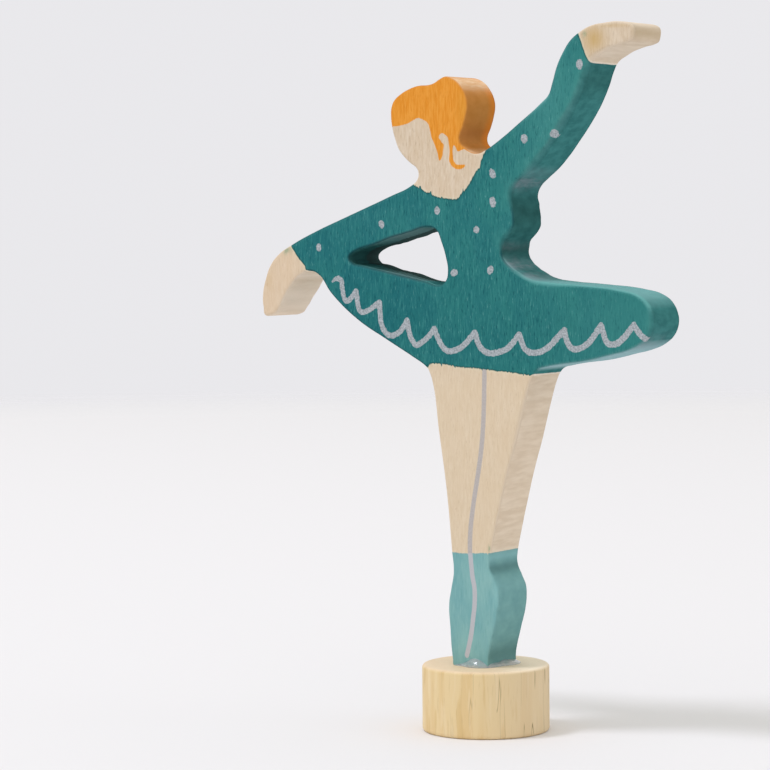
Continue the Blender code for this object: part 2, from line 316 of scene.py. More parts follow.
def rim_distance(points, loops):
    """Distance from each point to the nearest of the loops."""
    return np.min([segment_distances(points, loop, True)[0] for loop in loops], axis=0)


def on_board(points, loops):
    """True for each point within the outline and not in the opening."""
    return inside(points, loops[0]) & ~inside(points, loops[1])


def smooth_line(shares, steps=6):
    """A curve through points in hundredths of the height, as points in mm."""
    knots = mm_points(shares)
    padded = np.vstack([2 * knots[0] - knots[1], knots, 2 * knots[-1] - knots[-2]])
    made = []
    for i in range(1, len(padded) - 2):
        before, start, end, after = padded[i - 1:i + 3]
        for step in range(steps):
            t = step / steps
            made.append(0.5 * (
                2 * start + (end - before) * t + (2 * before - 5 * start + 4 * end - after) * t * t
                + (3 * start - before - 3 * end + after) * t ** 3
            ))
    made.append(knots[-1])
    return np.array(made)


def resample(loop, spacing):
    """A closed loop of points as evenly spaced points on a smooth curve through them."""
    lengths = segment_lengths(loop)
    along = np.concatenate([[0.0], np.cumsum(lengths)])
    count = int(along[-1] / spacing)
    wanted = np.linspace(0.0, along[-1], count, endpoint=False)
    tangents = (np.roll(loop, -1, axis=0) - np.roll(loop, 1, axis=0))
    tangents /= (lengths + np.roll(lengths, 1))[:, None]
    which = np.clip(np.searchsorted(along, wanted, side="right") - 1, 0, len(loop) - 1)
    following = (which + 1) % len(loop)
    t = ((wanted - along[which]) / lengths[which])[:, None]
    span = lengths[which][:, None]
    return (
        (2 * t ** 3 - 3 * t ** 2 + 1) * loop[which] + (t ** 3 - 2 * t ** 2 + t) * span * tangents[which]
        + (-2 * t ** 3 + 3 * t ** 2) * loop[following] + (t ** 3 - t ** 2) * span * tangents[following]
    )


def frame_outlines(node):
    """The board's true outline and its opening, from the frame's own mesh, as loops of (x, z) in mm."""
    mesh = node.data
    count = len(mesh.vertices)
    places = np.zeros(count * 3)
    mesh.vertices.foreach_get("co", places)
    places = places.reshape(-1, 3) / MM
    pairs = np.zeros(len(mesh.edges) * 2, int)
    mesh.edges.foreach_get("vertices", pairs)
    pairs = pairs.reshape(-1, 2)
    on_rim = np.abs(places[:, 1] + RIM_PLANE / MM) < 0.004
    welded = {}
    names = np.array([welded.setdefault(tuple(np.round(p, 3)), i) for i, p in enumerate(places)])
    neighbours = {}
    for a, b in pairs:
        if on_rim[a] and on_rim[b] and names[a] != names[b]:
            neighbours.setdefault(names[a], set()).add(names[b])
            neighbours.setdefault(names[b], set()).add(names[a])
    loops = []
    left = set(neighbours)
    while left:
        ends = [n for n in left if len(neighbours[n] & left) == 1]
        current = min(ends) if ends else min(left)
        chain = []
        while current is not None:
            chain.append(current)
            left.discard(current)
            onward = sorted(neighbours[current] & left)
            current = onward[0] if onward else None
        loops.append(places[chain][:, [0, 2]])
    loops.sort(key=len, reverse=True)
    return loops[0], loops[1]


def turned(loop, anticlockwise):
    """The loop, going the asked way round."""
    following = np.roll(loop, -1, axis=0)
    area = (loop[:, 0] * following[:, 1] - following[:, 0] * loop[:, 1]).sum()
    return loop if (area > 0) == anticlockwise else loop[::-1].copy()


def outward(loop):
    """The unit direction out of the board at each point, for a loop with the board on its left."""
    along = np.roll(loop, -1, axis=0) - np.roll(loop, 1, axis=0)
    along /= np.hypot(along[:, 0], along[:, 1])[:, None]
    return np.stack([along[:, 1], -along[:, 0]], axis=1)


def sawn(loop, side):
    """The loop as it was really cut, at the front or at the back."""
    at_back = side == "back"
    along = np.cumsum(segment_lengths(loop))
    turn = 2 * math.pi * along / along[-1]
    away = outward(loop)
    waves = np.zeros(len(loop))
    for order, (length, size) in enumerate(SAW_WAVES):
        turns = max(1, round(along[-1] / length))
        swell = 0.55 + 0.45 * np.sin(turn * (3 + 2 * order) + order)
        waves += size * swell * np.sin(turn * turns + 1.7 * order + 0.9 * at_back)
    shaky = np.full(len(loop), STEADY_SHARE)
    for place, reach in SHAKY_PLACES:
        shaky = np.maximum(shaky, np.exp(-nearness(loop, place, reach) ** 4))
    moved = loop + away * (waves * shaky * (1.0 if at_back else FRONT_SHARE))[:, None]
    for place, reach, depth in SAW_TRIMS:
        moved = moved - away * (depth * np.clip(1 - nearness(loop, place, reach) ** 2, 0, 1))[:, None]
    for place, push, reach, front, back in SAW_SLIPS:
        weight = np.clip(1 - nearness(loop, place, reach) ** 2, 0, 1) ** 2
        moved = moved + (weight * (back if at_back else front))[:, None] * np.array(push)
    return moved


def marks(points, places):
    """How strongly each point is marked by the listed places."""
    total = np.zeros(len(points))
    for place, across, up, strength in places:
        away = (points - mm_points([place])[0]) / (across, up)
        total = np.maximum(total, strength * np.exp(-(away ** 2).sum(1)))
    return total


# Paint on the board
class Paint:
    """Signed distances in mm from any point of the board to the edges of its paint."""

    def __init__(self):
        self.head = np.vstack([mm_points(NECKLINE), mm_points(HEAD_AROUND)])
        self.left_hand = np.vstack([mm_points(LEFT_CUFF), mm_points(LEFT_HAND_AROUND)])
        self.right_hand = np.vstack([mm_points(RIGHT_CUFF), mm_points(RIGHT_HAND_AROUND)])
        self.legs = np.vstack([mm_points(SKIRT_HEM), mm_points(LEGS_AROUND)])
        self.boots = np.vstack([mm_points(BOOT_TOPS), mm_points(BOOTS_AROUND)])
        self.hair = np.vstack([smooth_line(HAIRLINE, 3), mm_points(HAIR_AROUND)])
        self.hair_wall = mm_points(HAIR_WALL)
        self.hair_back = mm_points(HAIR_BACK)
        self.strokes = [smooth_line(last[-1:] + stroke) for last, stroke in zip([[]] + SCALLOPS, SCALLOPS)]
        self.leg_line = smooth_line(LEG_LINE)

    def silver(self, points):
        """How far each point lies within the silver paint.

        The painted lines thin out where the brush first touched, and a little over the first strokes.
        """
        best = np.full(len(points), -1e3)
        for order, stroke in enumerate(self.strokes):
            distance, place = segment_distances(points, stroke, False)
            thin = np.clip(1 - place / 1.2, 0, 1) * 0.20 if order == 0 else 0.0
            thin = thin + 0.012 * max(0, 5 - order)
            best = np.maximum(best, SCALLOP_WIDTH / 2 - thin - distance)
        distance, _ = segment_distances(points, self.leg_line, False)
        best = np.maximum(best, LEG_LINE_WIDTH / 2 - distance)
        for place, width, height, tilt in DOTS:
            centre = mm_points([place])[0]
            angle = math.radians(tilt)
            across = (points - centre) @ np.array([math.cos(angle), math.sin(angle)])
            up = (points - centre) @ np.array([-math.sin(angle), math.cos(angle)])
            reach = np.hypot(across / (width / 2), up / (height / 2))
            best = np.maximum(best, (1 - reach) * min(width, height) / 2)
        return best

    def measure(self, points, side):
        """Every mask at (x, z) points in mm. side is "front", "back" or "wall"."""
        head = zone(points, self.head)
        left_hand = zone(points, self.left_hand)
        if side == "wall":
            left_hand = np.minimum(left_hand, mm_points([(LEFT_WALL_END, 0)])[0, 0] - points[:, 0])
        hands = np.maximum(left_hand, zone(points, self.right_hand))
        legs = zone(points - (0.0, HEM_RISE if side == "wall" else 0.0), self.legs)
        hair = {"front": self.hair, "back": self.hair_back, "wall": self.hair_wall}[side]
        silver = self.silver(points) if side == "front" else np.full(len(points), -5.0)
        return {
            "bare": np.clip(np.maximum(np.maximum(head, hands), legs), -5, 5),
            "hair": np.clip(zone(points, hair), -5, 5),
            "boots": np.clip(zone(points, self.boots), -5, 5),
            "silver": np.clip(silver, -5, 5),
            "ragged": np.where(np.maximum(head, legs) > hands, 1.0, 0.25) * (0.3 if side == "wall" else 1.0),
            # On the walls, pale and dark carry painted highlights and painted shade
            "pale": marks(points, {"wall": PALE_AND_LIT_ON_WALL, "front": PALE_ON_FRONT, "back": []}[side]),
            "dark": marks(points, {"wall": DARK_AND_SHADED_ON_WALL, "front": DARK_ON_FRONT, "back": []}[side]),
            "ochre": marks(points, OCHRE_ON_FRONT if side == "front" else []),
            "green": marks(points, GREEN_ON_FRONT if side == "front" else []),
        }


def cap_points(loops, coarse, paint, side):
    """Points to fill a face of the board with: rows along its rim, and a grid, finer at paint edges."""

    def well_inside(points, margin):
        points = points[on_board(points, loops)]
        return points[rim_distance(points, loops) > margin]

    def to_paint(points):
        masks = paint.measure(points, side)
        near = np.min([np.abs(masks[name]) for name in ("bare", "boots", "silver")], axis=0)
        return np.minimum(near, np.where(masks["bare"] > -0.4, np.abs(masks["hair"]), 9.0))

    low, high = loops[0].min(0), loops[0].max(0)
    across, up = np.meshgrid(np.arange(low[0], high[0], coarse), np.arange(low[1], high[1], coarse))
    wide = well_inside(np.column_stack([across.ravel(), up.ravel()]), 0.15)
    near = to_paint(wide) < PAINT_BAND + coarse * 0.6
    steps = (np.arange(FINE_SHARE) - (FINE_SHARE - 1) / 2) * (coarse / FINE_SHARE)
    offsets = np.array([(a, b) for a in steps for b in steps])
    close = well_inside((wide[near][:, None, :] + offsets).reshape(-1, 2), 0.12)
    close = close[to_paint(close) < PAINT_BAND]
    wide = wide[~near & (rim_distance(wide, loops) > RIM_ROWS[-1] + coarse * 0.45)]
    rows = []
    for loop in loops:
        for depth in RIM_ROWS:
            moved = (loop - outward(loop) * depth)[::1 if depth < 0.3 else 2]
            moved = moved[on_board(moved, loops)]
            rows.append(moved[rim_distance(moved, loops) > depth * 0.97])
    return np.vstack([wide, close] + rows)


def triangulate(loops, fill):
    """Triangles between the loops: returns all points, the loops' own places first, and the triangles."""
    rim = np.vstack(loops)
    points = np.vstack([rim, fill])
    edges = []
    start = 0
    for loop in loops:
        count = len(loop)
        edges += [(start + i, start + (i + 1) % count) for i in range(count)]
        start += count
    places, _, faces, originals, _, _ = delaunay_2d_cdt(
        [Vector(p) for p in points], edges, [], 0, 1e-5, True
    )
    places = np.array([tuple(p) for p in places])
    faces = np.array([tuple(f) for f in faces])
    middle = places[faces].mean(1)
    faces = faces[on_board(middle, loops)]
    order = np.full(len(rim), -1)
    for new, olds in enumerate(originals):
        for old in olds:
            if old < len(rim):
                order[old] = new
    used = np.unique(np.concatenate([faces.ravel(), order]))
    rank = {old: len(rim) + i for i, old in enumerate(sorted(set(used) - set(order)))}
    rank.update({new: i for i, new in enumerate(order)})
    kept = np.zeros((len(rank), 2))
    for old, new in rank.items():
        kept[new] = places[old]
    return kept, np.array([[rank[i] for i in face] for face in faces])


def edge_radii(loop, side):
    """How far the board's edge is rounded at each point of a loop, in mm."""
    if side == "back":
        radii = np.full(len(loop), BACK_RADIUS)
    else:
        radii = np.full(len(loop), EDGE_RADIUS)
        for place, radius, reach in SOFT_EDGES:
            near = np.clip(1 - nearness(loop, place, reach), 0, 1)
            radii = np.maximum(radii, EDGE_RADIUS + (radius - EDGE_RADIUS) * near ** 2 * (3 - 2 * near))
    low = np.clip((loop[:, 1] - SOLES / MM - 0.05) / 1.2, 0, 1)
    return SOLE_RADIUS + (radii - SOLE_RADIUS) * low


def round_over(depth, radius):
    """How far the rounded edge lies behind the face, at a depth inside the outline."""
    inner = np.clip(radius - depth, 0, radius)
    return radius - np.sqrt(np.maximum(radius ** 2 - inner ** 2, 0.0))


def board_face(side, loops, paint):
    """One face of the board: points with the rim first, triangles, and the masks of its looks."""
    sign, coarse = (-1, COARSE_FRONT) if side == "front" else (1, COARSE_BACK)
    points, faces = triangulate(loops, cap_points(loops, coarse, paint, side))
    rim = sum(len(loop) for loop in loops)
    depth = np.full(len(points), 1e9)
    radius = np.zeros(len(points))
    slope = np.zeros(len(points))
    for loop in loops:
        distance, place = segment_distances(points, loop, True)
        passed = np.concatenate([[0.0], np.cumsum(segment_lengths(loop))])
        nearest = np.clip(np.searchsorted(passed, place) - 1, 0, len(loop) - 1)
        closer = distance < depth
        depth[closer] = distance[closer]
        radius[closer] = edge_radii(loop, side)[nearest[closer]]
        slope[closer] = outward(loop)[nearest[closer], 1]
    depth[:rim] = 0.0
    radius[:rim] = np.concatenate([edge_radii(loop, side) for loop in loops])
    y = sign * (HALF_BOARD / MM - round_over(depth, radius))
    wall = np.clip(1 - depth / np.maximum(radius * 0.8, 0.05), 0, 1)
    masks = paint.measure(points, side)
    on_wall = paint.measure(points, "wall")
    for name in masks.keys() - {"silver"}:
        masks[name] = masks[name] * (1 - wall) + on_wall[name] * wall
    soft = np.clip((radius - 0.55) / 0.6, 0, 1) * (sign < 0)
    worn = soft * np.clip(1 - depth / 2.4, 0, 1) * np.clip(depth / np.maximum(radius * 0.5, 0.1), 0, 1)
    masks.update(wall=wall, slope=slope, inset=np.minimum(depth, 3.0), soft=soft, worn=worn)
    masks["along"] = np.zeros(len(points))
    return np.column_stack([points[:, 0], y, points[:, 1]]), faces[:, ::sign], masks


def new_object(name, vertices, faces, smooth=True):
    mesh = bpy.data.meshes.new(name)
    mesh.from_pydata(vertices, [], faces)
    mesh.validate()
    mesh.polygons.foreach_set("use_smooth", [smooth] * len(mesh.polygons))
    made = bpy.data.objects.new(name, mesh)
    bpy.context.scene.collection.objects.link(made)
    return made


def build_dancer(node, paint):
    """One closed mesh: two faces, rounded edges and sawn walls, with its paint as attributes."""
    outline, opening = frame_outlines(node)
    loops = [
        turned(resample(outline, OUTLINE_SPACING), True),
        turned(resample(opening, OUTLINE_SPACING), False),
    ]
    rim_along = np.concatenate([np.cumsum(segment_lengths(loop)) for loop in loops])
    rim_slope = np.concatenate([outward(loop)[:, 1] for loop in loops])
    count = len(rim_along)
    front, front_faces, front_masks = board_face("front", [sawn(loop, "front") for loop in loops], paint)
    back, back_faces, back_masks = board_face("back", [sawn(loop, "back") for loop in loops], paint)
    front_masks["along"][:count] = back_masks["along"][:count] = rim_along
    vertices = [front, back]
    triangles = [front_faces, back_faces + len(front)]
    masks = [front_masks, back_masks]

    rings = [np.arange(count)]
    total = len(front) + len(back)
    rows = int(2 * HALF_BOARD / MM / WALL_SPACING)
    for row in range(1, rows):
        ring = front[:count] + (back[:count] - front[:count]) * (row / rows)
        ring_masks = paint.measure(ring[:, [0, 2]], "wall")
        ring_masks.update(wall=np.ones(count), slope=rim_slope, along=rim_along)
        ring_masks.update({name: np.zeros(count) for name in ("inset", "soft", "worn")})
        vertices.append(ring)
        masks.append(ring_masks)
        rings.append(total + np.arange(count))
        total += count
    rings.append(len(front) + np.arange(count))
    following = np.concatenate([np.roll(part, -1) for part in np.split(np.arange(count), [len(loops[0])])])
    for previous, current in zip(rings, rings[1:]):
        triangles.append(np.column_stack([previous, previous[following], current[following]]))
        triangles.append(np.column_stack([previous, current[following], current]))

    vertices = np.vstack(vertices)
    vertices[:, 2] -= SOLE_DROP * np.clip(1 - (vertices[:, 2] - SOLES / MM) / 1.5, 0, 1)
    dancer = new_object("dancer", (vertices * MM).tolist(), np.vstack(triangles).tolist())
    for name in front_masks:
        attribute = dancer.data.attributes.new(name, "FLOAT", "POINT")
        attribute.data.foreach_set("value", np.concatenate([m[name] for m in masks]).astype(np.float32))
    return dancer


# Materials
def colour(red, green, blue):
    """An sRGB colour from 0 to 255 as the linear one that a shader takes."""
    shares = [value / 255 for value in (red, green, blue)]
    return [s / 12.92 if s <= 0.04045 else ((s + 0.055) / 1.055) ** 2.4 for s in shares] + [1.0]


class Nodes:
    """A short way to write the nodes of a material or a world.

    A value is a socket, a plain value or, for a colour, an sRGB triple from 0 to 255.
    """

    def __init__(self, owner, shader="Principled BSDF"):
        owner.use_nodes = True
        self.owner = owner
        self.tree = owner.node_tree
        self.shader = self.tree.nodes[shader]

    def put(self, socket, value):
        if isinstance(value, bpy.types.NodeSocket):
            self.tree.links.new(value, socket)
        elif isinstance(value, tuple) and len(socket.default_value) == 4:
            socket.default_value = colour(*value)
        else:
            socket.default_value = value

    def node(self, kind, inputs, **settings):
        made = self.tree.nodes.new(kind)
        for name, value in settings.items():
            setattr(made, name, value)
        for name, value in inputs.items():
            self.put(made.inputs[name], value)
        return made

    def look(self, **inputs):
        """Set the shader's inputs, with _ for a space in their names."""
        for name, value in inputs.items():
            self.put(self.shader.inputs[name.replace("_", " ")], value)

    def math(self, operation, a, b=0.0, c=0.0):
        return self.node("ShaderNodeMath", {0: a, 1: b, 2: c}, operation=operation).outputs[0]

    def mul(self, a, b):
        return self.math("MULTIPLY", a, b)

    def centred(self, value):
        return self.math("SUBTRACT", value, 0.5)

    def attribute(self, name):
        return self.node("ShaderNodeAttribute", {}, attribute_name=name).outputs["Fac"]

    def coordinates(self, kind="Object"):
        return self.node("ShaderNodeTexCoord", {}).outputs[kind]

    def scaled(self, vector, scale):
        return self.node("ShaderNodeVectorMath", {0: vector, 1: scale}, operation="MULTIPLY").outputs[0]

    def place(self, cells):
        """Object coordinates times a scale in cells a millimetre."""
        return self.scaled(self.coordinates(), [1000 * c for c in cells])

    def parts(self, vector):
        made = self.node("ShaderNodeSeparateXYZ", {0: vector})
        return (made.outputs[name] for name in "XYZ")

    def noise(self, cells, detail=2.0, roughness=0.5, vector=None, distortion=0.0):
        vector = self.place(cells) if vector is None else self.scaled(vector, cells)
        inputs = {"Vector": vector, "Scale": 1.0, "Detail": detail, "Roughness": roughness}
        return self.node("ShaderNodeTexNoise", {**inputs, "Distortion": distortion}).outputs["Fac"]

    def spread(self, value, low, high, to_low=0.0, to_high=1.0, smooth=False):
        """The value's range from low to high, laid out over another and held at its ends."""
        inputs = {"Value": value, "From Min": low, "From Max": high, "To Min": to_low, "To Max": to_high}
        kind = "SMOOTHSTEP" if smooth else "LINEAR"
        return self.node("ShaderNodeMapRange", inputs, interpolation_type=kind).outputs["Result"]

    def mix(self, share, a, b):
        return self.node("ShaderNodeMix", {0: share, 6: a, 7: b}, data_type="RGBA").outputs[2]

    def between(self, value, low, high, a, b):
        """The colour a where the value is low, going over to b where it is high."""
        return self.mix(self.spread(value, low, high), a, b)

    def over(self, base, *layers):
        """A colour with layers over it, each a share and a colour."""
        for share, shade in layers:
            base = self.mix(share, base, shade)
        return base

    def bump(self, height, distance, strength, **normal):
        inputs = {"Height": height, "Distance": distance, "Strength": strength, **normal}
        return self.node("ShaderNodeBump", inputs).outputs["Normal"]


def board_masks(n):
    """The noises, places and shares that the board's colours are mixed by."""
    names = ("wall", "slope", "inset", "soft", "worn", "pale", "dark", "ochre", "green", "ragged")
    m = SimpleNamespace(**{name: n.attribute(name) for name in names})
    m.fibre = n.noise((3.6, 3.6, 0.50), roughness=0.55)
    m.fine_fibre = n.noise((5.6, 5.6, 0.95), roughness=0.6)
    m.patches = n.noise((0.30, 0.30, 0.14), detail=3.0)
    m.mottle = n.noise((0.9, 0.45, 0.75))
    m.speckle = n.noise((3.8, 3.8, 3.8), roughness=0.7)
    m.bristle = n.noise((3.8, 1.0, 0.40), detail=3.0, roughness=0.7)
    m.wobble = n.noise((0.9, 0.9, 0.9))
    m.x, m.y, m.z = n.parts(n.place((1.0, 1.0, 1.0)))
    cut = n.node("ShaderNodeCombineXYZ", {"X": n.attribute("along"), "Y": n.mul(m.y, 0.16)}).outputs[0]
    m.saw = n.noise((0.95, 1.0, 1.0), roughness=0.6, vector=cut)
    m.brush = n.noise((1.6, 2.2, 1.0), roughness=0.6, vector=cut)
    m.back_edge = n.spread(m.y, 3.75, 4.15)

    spikes = n.noise((2.4, 1.0, 0.25), detail=1.0)
    shift = n.mul(n.centred(m.bristle), n.mul(m.ragged, 0.75))
    shift = n.math("SUBTRACT", shift, n.mul(n.spread(spikes, 0.64, 0.74), n.mul(m.ragged, 0.40)))
    shift = n.math("ADD", shift, n.mul(n.centred(m.wobble), 0.16))

    def edge(name, amount):
        return n.math("MULTIPLY_ADD", shift, amount, n.attribute(name))

    m.bare_edge = edge("bare", 1.0)
    m.bare, m.hair, m.boots = (
        n.spread(distance, -0.07, 0.07, smooth=True)
        for distance in (m.bare_edge, edge("hair", 0.30), edge("boots", 0.45))
    )
    uneven = n.spread(n.math("MAXIMUM", m.bare, m.boots), 0.0, 1.0, 0.36, 0.10)
    uneven = n.mul(n.centred(n.noise((2.4, 2.4, 2.4), detail=3.0)), uneven)
    m.silver = n.spread(n.math("ADD", n.attribute("silver"), uneven), -0.06, 0.05, smooth=True)
    return m


def bare_wood(n, m):
    front = n.over(
        n.between(m.fibre, 0.36, 0.64, (212, 192, 166), (223, 206, 184)),
        (n.mul(n.spread(m.patches, 0.35, 0.7), 0.5), (214, 192, 164)),
        (n.mul(n.spread(m.fine_fibre, 0.40, 0.30), 0.42), (176, 150, 120)),
        (n.mul(n.spread(m.fine_fibre, 0.62, 0.72), 0.5), (240, 226, 206)),
        (n.mul(n.spread(m.z, 62.0, 54.0), 0.40), (228, 208, 176)),
        (n.mul(n.spread(m.x, -30.0, -34.0), 0.40), (228, 201, 170)),
        (n.mul(m.ochre, 0.80), (200, 166, 104)),
        (n.mul(m.green, n.spread(m.wobble, 0.35, 0.6)), (110, 152, 120)),
    )
    sawn_side = n.over(
        n.between(m.saw, 0.38, 0.62, (214, 195, 172), (227, 210, 189)),
        # Painted shade and painted highlights on the sawn sides
        (n.mul(m.dark, 0.75), (184, 164, 132)),
        (n.mul(m.pale, 0.8), (238, 224, 208)),
    )
    # A pale fringe beside the paint's edge; on the sawn sides it is whiter, a painted highlight line along
    # the paint's edge
    pale_fringe_and_highlight = n.mul(n.spread(m.bare_edge, 0.0, 0.34, 1.0, 0.0), n.spread(m.wall, 0.0, 1.0, 0.45, 0.70))
    return n.over(
        front,
        (n.mul(m.wall, 0.85), sawn_side),
        (pale_fringe_and_highlight, n.mix(m.wall, (222, 218, 190), (244, 236, 224))),
    )


def teal_front(n, m):
    lively = n.spread(m.x, 12.0, 30.0, 1.0, 0.40)
    beside_bare = n.mul(n.spread(m.bare_edge, -0.30, -0.08), n.mul(n.math("SUBTRACT", 1.0, m.wall), 0.60))
    return n.over(
        n.between(m.patches, 0.36, 0.66, (41, 111, 116), (48, 121, 121)),
        (n.spread(m.x, -20.0, 34.0, 0.0, 0.5), (60, 133, 126)),
        (n.mul(m.pale, 0.55), (80, 150, 146)),
        (n.mul(m.dark, 0.60), (24, 94, 100)),
        (n.mul(n.spread(m.fibre, 0.55, 0.70), n.mul(lively, 0.38)), (74, 148, 144)),
        (n.mul(n.spread(m.fibre, 0.44, 0.32), n.mul(lively, 0.36)), (20, 86, 94)),
        (n.mul(n.spread(m.fine_fibre, 0.41, 0.29), n.mul(lively, 0.65)), (10, 66, 76)),
        (n.mul(n.spread(m.fine_fibre, 0.62, 0.74), n.mul(lively, 0.5)), (108, 172, 166)),
        # Paler teal on the rounded band of the soft edges
        (n.mul(m.worn, 0.85), n.between(m.mottle, 0.35, 0.65, (64, 136, 132), (84, 154, 148))),
        (beside_bare, (26, 68, 64)),
    )


def teal_wall(n, m):
    """The dress on the sawn sides, with painted light where they face up or down at the right and painted
    shade in the opening.
    """
    out_right = n.spread(m.x, 9.0, 14.0)
    # A painted highlight along the front edge of walls that face up
    front_edge_highlight = n.mul(n.spread(m.slope, 0.25, 0.55), n.spread(m.y, -3.2, -3.9))
    in_opening = n.mul(n.spread(m.x, -8.0, -9.5), n.spread(m.x, -27.0, -25.0))
    in_opening = n.mul(in_opening, n.mul(n.spread(m.z, 68.5, 70.0), n.spread(m.z, 80.5, 79.0)))
    # Painted shade, darker towards the back of the opening
    deep_shade = n.spread(n.math("MULTIPLY_ADD", n.centred(m.bristle), 3.6, m.y), 0.3, 1.1)
    patchy = n.spread(n.math("MULTIPLY_ADD", n.centred(m.wobble), 9.0, m.y), -2.5, 3.5, 1.0, 0.35)
    # Painted sheen and bounce light at the paler places, broken into brush streaks
    brushed_sheen = n.mul(n.mul(m.pale, n.spread(m.brush, 0.36, 0.58, 0.45, 1.0)), patchy)
    return n.over(
        n.between(m.mottle, 0.35, 0.65, (54, 112, 112), (66, 128, 127)),
        # Painted sheen where walls at the right face up, painted bounce light where they face down
        (n.mul(n.spread(m.slope, 0.45, 0.95), n.mul(out_right, 0.75)), (128, 178, 178)),
        (n.mul(n.spread(m.slope, -0.72, -0.97), n.mul(out_right, 0.85)), (160, 194, 200)),
        (n.mul(front_edge_highlight, 0.75), (112, 180, 176)),
        (n.mul(n.spread(m.brush, 0.52, 0.70), 0.20), (76, 146, 144)),
        # Painted shade at the darker places
        (n.mul(m.dark, 0.9), n.between(m.mottle, 0.35, 0.65, (40, 80, 78), (48, 92, 90))),
        # A painted sheen on the opening's walls towards its right end
        (n.mul(in_opening, n.mul(n.spread(m.x, -19.5, -14.0), 0.8)), (108, 138, 138)),
        (n.mul(deep_shade, n.mul(in_opening, 0.9)), (56, 76, 74)),
        (n.mul(m.back_edge, 0.5), (12, 62, 62)),
        (n.mul(brushed_sheen, 0.75), (156, 157, 167)),
    )


def teal_stain(n, m):
    rim = n.mul(n.spread(m.inset, 0.34, 0.10), n.spread(m.y, -3.86, -3.98))
    skirt_right = n.mul(n.spread(m.x, 6.0, 10.0), n.spread(m.z, 84.0, 78.0))
    rim = n.mul(rim, n.spread(skirt_right, 0.0, 1.0, 1.0, 0.0))
    return n.over(
        n.mix(m.wall, teal_front(n, m), teal_wall(n, m)),
        (n.mul(rim, n.spread(m.soft, 0.0, 0.3, 0.60, 0.0)), (20, 66, 74)),
    )


def orange_stain(n, m):
    front = n.over(
        n.between(m.fibre, 0.38, 0.66, (225, 144, 50), (235, 160, 68)),
        (n.mul(n.spread(m.fine_fibre, 0.40, 0.30), 0.32), (192, 110, 26)),
        (n.mul(m.ochre, 0.8), (212, 150, 60)),
    )
    # Paler where the stain is thin on the bun's top, with a painted highlight there
    thin_stain_and_highlight = n.mul(m.pale, n.spread(m.brush, 0.30, 0.65, 0.75, 1.10))
    sawn_side = n.over(
        n.between(m.mottle, 0.30, 0.75, (198, 130, 64), (210, 142, 76)),
        # Painted shade at the darker places
        (n.mul(m.dark, 0.5), (168, 118, 76)),
        (n.mul(n.spread(m.y, 1.8, 3.2), 0.7), (224, 132, 48)),
        (n.mul(m.back_edge, 0.6), (150, 100, 52)),
        (thin_stain_and_highlight, n.between(m.brush, 0.35, 0.65, (238, 200, 160), (246, 216, 182))),
    )
    return n.mix(m.wall, front, sawn_side)


def boot_stain(n, m):
    front = n.over(
        n.between(m.patches, 0.36, 0.66, (121, 171, 173), (136, 182, 180)),
        (n.mul(n.spread(m.fibre, 0.54, 0.74), 0.4), (150, 192, 188)),
        (n.mul(n.spread(m.fibre, 0.44, 0.30), 0.3), (96, 152, 152)),
        # A painted highlight on a knife facet
        (n.mul(m.pale, 0.5), (146, 196, 194)),
        (n.mul(m.green, 0.9), (70, 126, 90)),
    )
    sawn_side = n.over(
        n.between(m.mottle, 0.30, 0.70, (110, 156, 157), (122, 168, 167)),
        # Painted highlights and painted shade on the knife facets, and painted shade low down
        (n.mul(m.pale, 0.7), (142, 188, 190)),
        (n.mul(m.dark, 0.7), (78, 114, 114)),
        (n.mul(m.back_edge, 0.4), (70, 116, 116)),
    )
    return n.mix(m.wall, front, sawn_side)


def silver_paint(n, m):
    return n.over(
        n.between(m.speckle, 0.34, 0.66, (138, 146, 150), (188, 194, 199)),
        (n.mul(m.bare, 0.75), (193, 182, 176)),
        (n.mul(m.boots, 0.60), (188, 193, 202)),
    )


def board_material():
    n = Nodes(bpy.data.materials.new("stained_board"))
    m = board_masks(n)
    body = n.over(
        teal_stain(n, m),
        (m.bare, bare_wood(n, m)), (m.boots, boot_stain(n, m)),
        (m.hair, orange_stain(n, m)), (m.silver, silver_paint(n, m)),
    )
    rough = n.math("MULTIPLY_ADD", m.wall, -0.06, n.spread(m.fibre, 0.3, 0.7, 0.50, 0.62))
    fibres = n.mul(m.fibre, n.math("SUBTRACT", 1.0, n.mul(m.wall, 0.98)))
    sanded = n.math("MAXIMUM", n.math("MAXIMUM", m.boots, m.hair), n.spread(m.x, -30.0, -34.0))
    saw_marks = n.mul(m.saw, n.mul(m.wall, n.spread(sanded, 0.0, 1.0, 1.0, 0.12)))
    normal = n.bump(saw_marks, 0.10 * MM, 0.6, Normal=n.bump(fibres, 0.09 * MM, 0.6))
    n.look(Base_Color=body, Roughness=rough, Specular_IOR_Level=0.0, Normal=normal)
    return n.owner


